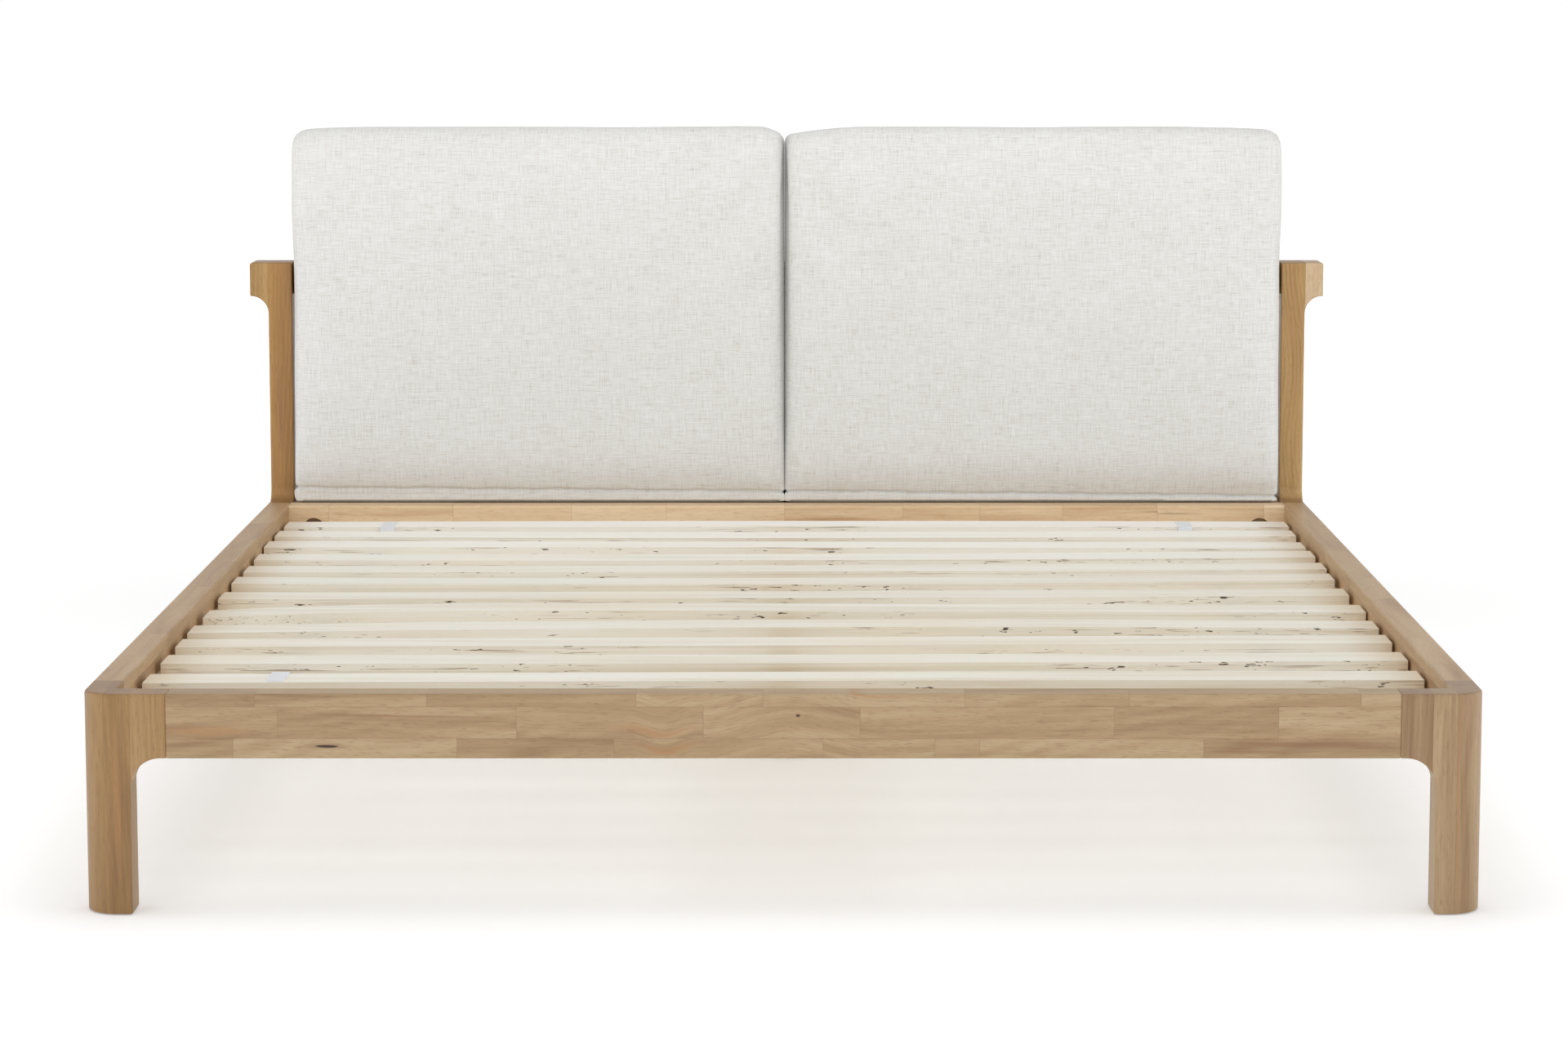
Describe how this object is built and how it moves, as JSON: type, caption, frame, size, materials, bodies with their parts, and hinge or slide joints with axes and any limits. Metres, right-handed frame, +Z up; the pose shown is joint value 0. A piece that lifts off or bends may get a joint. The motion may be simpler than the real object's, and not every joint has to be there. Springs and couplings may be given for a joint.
{
  "type": "bed frame",
  "caption": "Platform bed frame in light laminated hardwood with coved legs, loose slats on webbing, eared rear posts and two tall linen headboard cushions.",
  "frame": {"origin": "on the floor, under the middle of the frame", "axes": "+Y from the foot end to the headboard, +Z up, +X to the right as seen from the foot end"},
  "size_m": [2.172, 2.23, 1.095],
  "materials": {
    "leg_wood": "satin clear lacquer on laminated light hardwood",
    "rail_wood": "satin clear lacquer on finger-jointed light hardwood",
    "post_wood": "satin clear lacquer on laminated light hardwood",
    "headboard_wood": "satin clear lacquer on light hardwood",
    "slat_wood": "plain sanded poplar laminate, unfinished",
    "support_wood": "planed softwood, unfinished",
    "dowel_wood": "fluted beech, unfinished",
    "plywood": "plain sanded plywood",
    "linen": "off-white linen-blend plain weave, matt",
    "lining_cloth": "dark non-woven lining cloth, matt",
    "dark_webbing": "dark polypropylene webbing",
    "white_webbing": "white polypropylene webbing",
    "felt": "brown pressed felt",
    "plate_steel": "black powder coat, satin",
    "fastener_steel": "zinc plated",
    "wire_steel": "bright wire",
    "black_plastic": "moulded nylon, matt"
  },
  "bodies": {
    "bed": {"barrel_nuts": "fastener_steel", "beam_hanger_foot": "plate_steel", "beam_hanger_head": "plate_steel", "bed_bolts": "fastener_steel", "centre_beam": "support_wood", "centre_leg": "support_wood", "centre_leg_plate": "plate_steel", "corner_dowels": "dowel_wood", "cushion_backer_left": "plywood", "cushion_backer_right": "plywood", "cushion_ledge": "support_wood", "cushion_left": "linen", "cushion_lining_left": "lining_cloth", "cushion_lining_right": "lining_cloth", "cushion_right": "linen", "cushion_straps": "dark_webbing", "foot_pads": "felt", "front_leg_left": "leg_wood", "front_leg_right": "leg_wood", "front_rail": "rail_wood", "head_rail": "rail_wood", "head_rail_bolts": "fastener_steel", "head_rail_inserts": "fastener_steel", "head_rail_washers": "fastener_steel", "headboard_dowels": "dowel_wood", "headboard_lower_rail": "headboard_wood", "headboard_stile": "headboard_wood", "headboard_top_rail": "headboard_wood", "joint_plate_screws": "fastener_steel", "joint_plates": "plate_steel", "ledge_dowels": "dowel_wood", "ledger_left": "support_wood", "ledger_right": "support_wood", "ledger_screws": "fastener_steel", "leveller_insert": "fastener_steel", "post_ear_left": "post_wood", "post_ear_right": "post_wood", "rear_post_left": "post_wood", "rear_post_right": "post_wood", "side_rail_left": "rail_wood", "side_rail_right": "rail_wood", "slat_01": "slat_wood", "slat_02": "slat_wood", "slat_03": "slat_wood", "slat_04": "slat_wood", "slat_05": "slat_wood", "slat_06": "slat_wood", "slat_07": "slat_wood", "slat_08": "slat_wood", "slat_09": "slat_wood", "slat_10": "slat_wood", "slat_11": "slat_wood", "slat_12": "slat_wood", "slat_staples": "wire_steel", "slat_webbing_left": "white_webbing", "slat_webbing_right": "white_webbing", "support_screws": "fastener_steel"},
    "leveller": {"leveller_base": "black_plastic", "leveller_stem": "fastener_steel"}
  },
  "joints": [
    {"name": "leveller_screw", "type": "slide", "parent": "bed", "child": "leveller", "axis": [0, 0, -1], "range_m": [0, 0.015]}
  ]
}
